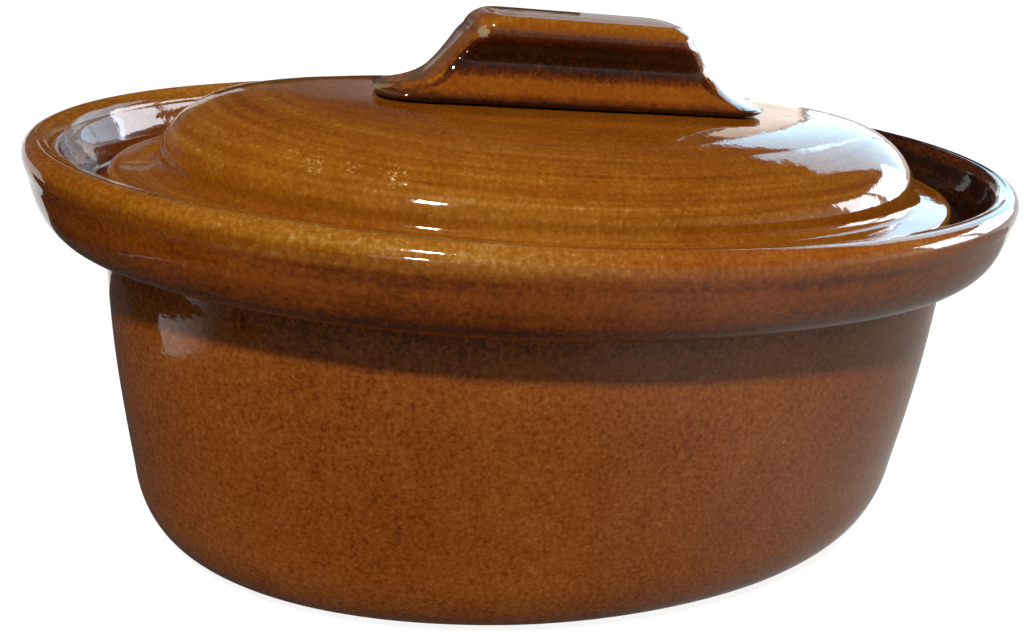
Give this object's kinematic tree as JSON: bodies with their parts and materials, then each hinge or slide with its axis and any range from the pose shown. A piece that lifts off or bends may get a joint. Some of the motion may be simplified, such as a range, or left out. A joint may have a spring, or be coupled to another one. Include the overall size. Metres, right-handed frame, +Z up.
{
  "type": "casserole dish",
  "caption": "Oval casserole dish in amber-brown glazed stoneware: a deep body with a rolled collar and an inner ledge, and a loose domed lid that lifts off by its ridge handle.",
  "frame": {"origin": "middle of the foot's flat ring, on the table", "axes": "+Z up, the way the lid lifts; +X along the dish's length, which is also the handle's"},
  "size_m": [0.26, 0.171, 0.1455],
  "materials": {
    "dish_glaze": "glossy reddish brown glaze, amber where it runs thin on the lip",
    "lid_glaze": "glossy amber brown glaze, darker in the handle's neck"
  },
  "bodies": {
    "dish": {"dish": "dish_glaze"},
    "lid": {"lid": "lid_glaze", "lid_handle": "lid_glaze"}
  },
  "joints": [
    {"name": "lid_lift", "type": "slide", "parent": "dish", "child": "lid", "axis": [0, 0, 1], "range_m": [0, 0.12]}
  ]
}
